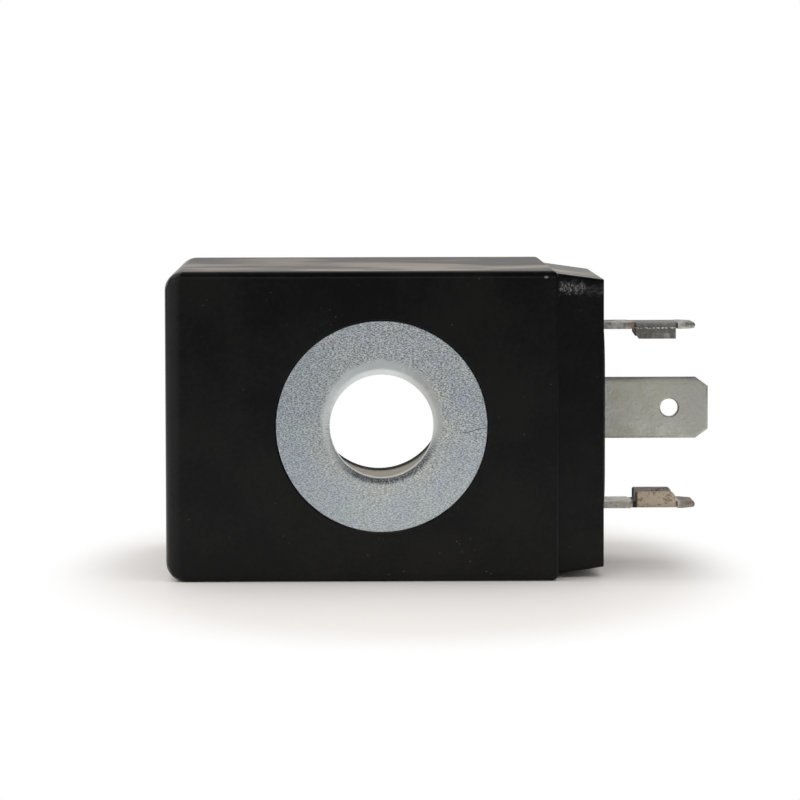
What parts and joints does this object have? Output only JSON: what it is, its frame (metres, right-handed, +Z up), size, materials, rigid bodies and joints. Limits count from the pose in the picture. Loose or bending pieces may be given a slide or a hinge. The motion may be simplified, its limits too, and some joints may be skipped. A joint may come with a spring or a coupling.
{
  "type": "solenoid valve coil",
  "caption": "Black encapsulated solenoid coil with a round bore for a valve stem, a zinc-plated steel ring in its front face and a square plug base with flat blades at one end.",
  "frame": {"origin": "on the bore axis, at the mouth of the stem bore, in the seat face at the bottom of the rear recess", "axes": "+Y along the bore, the way the valve stem leaves; +X towards the blades; +Z up from the flat side that the coil lies on"},
  "size_m": [0.0548, 0.0405, 0.0302],
  "materials": {
    "body_moulding": "satin black moulding compound",
    "plug_moulding": "satin black moulding compound, scuffed",
    "zinc_plate": "bright zinc plating with a fine rolled grain",
    "yoke_steel": "dark phosphated strip, matt",
    "bobbin_nylon": "natural glass-filled nylon",
    "wire_enamel": "enamelled copper wire",
    "polyester_tape": "yellow polyester tape",
    "tinned_sheet": "tin-plated sheet with stains",
    "rivet_steel": "plain steel rivet",
    "insert_brass": "turned brass",
    "glass_sleeve": "varnished glass sleeving",
    "solder_tin": "bright solder"
  },
  "bodies": {
    "root": {"moulded_body": "body_moulding", "plug_base": "plug_moulding", "front_flux_ring": "zinc_plate", "yoke_frame": "yoke_steel", "bobbin": "bobbin_nylon", "winding": "wire_enamel", "winding_tape": "polyester_tape", "upper_power_blade": "tinned_sheet", "lower_power_blade": "tinned_sheet", "earth_blade": "tinned_sheet", "earth_rivet": "rivet_steel", "plug_screw_insert": "insert_brass", "start_lead": "wire_enamel", "finish_lead": "wire_enamel", "start_lead_sleeve": "glass_sleeve", "finish_lead_sleeve": "glass_sleeve", "start_solder_joint": "solder_tin", "finish_solder_joint": "solder_tin"}
  },
  "joints": []
}
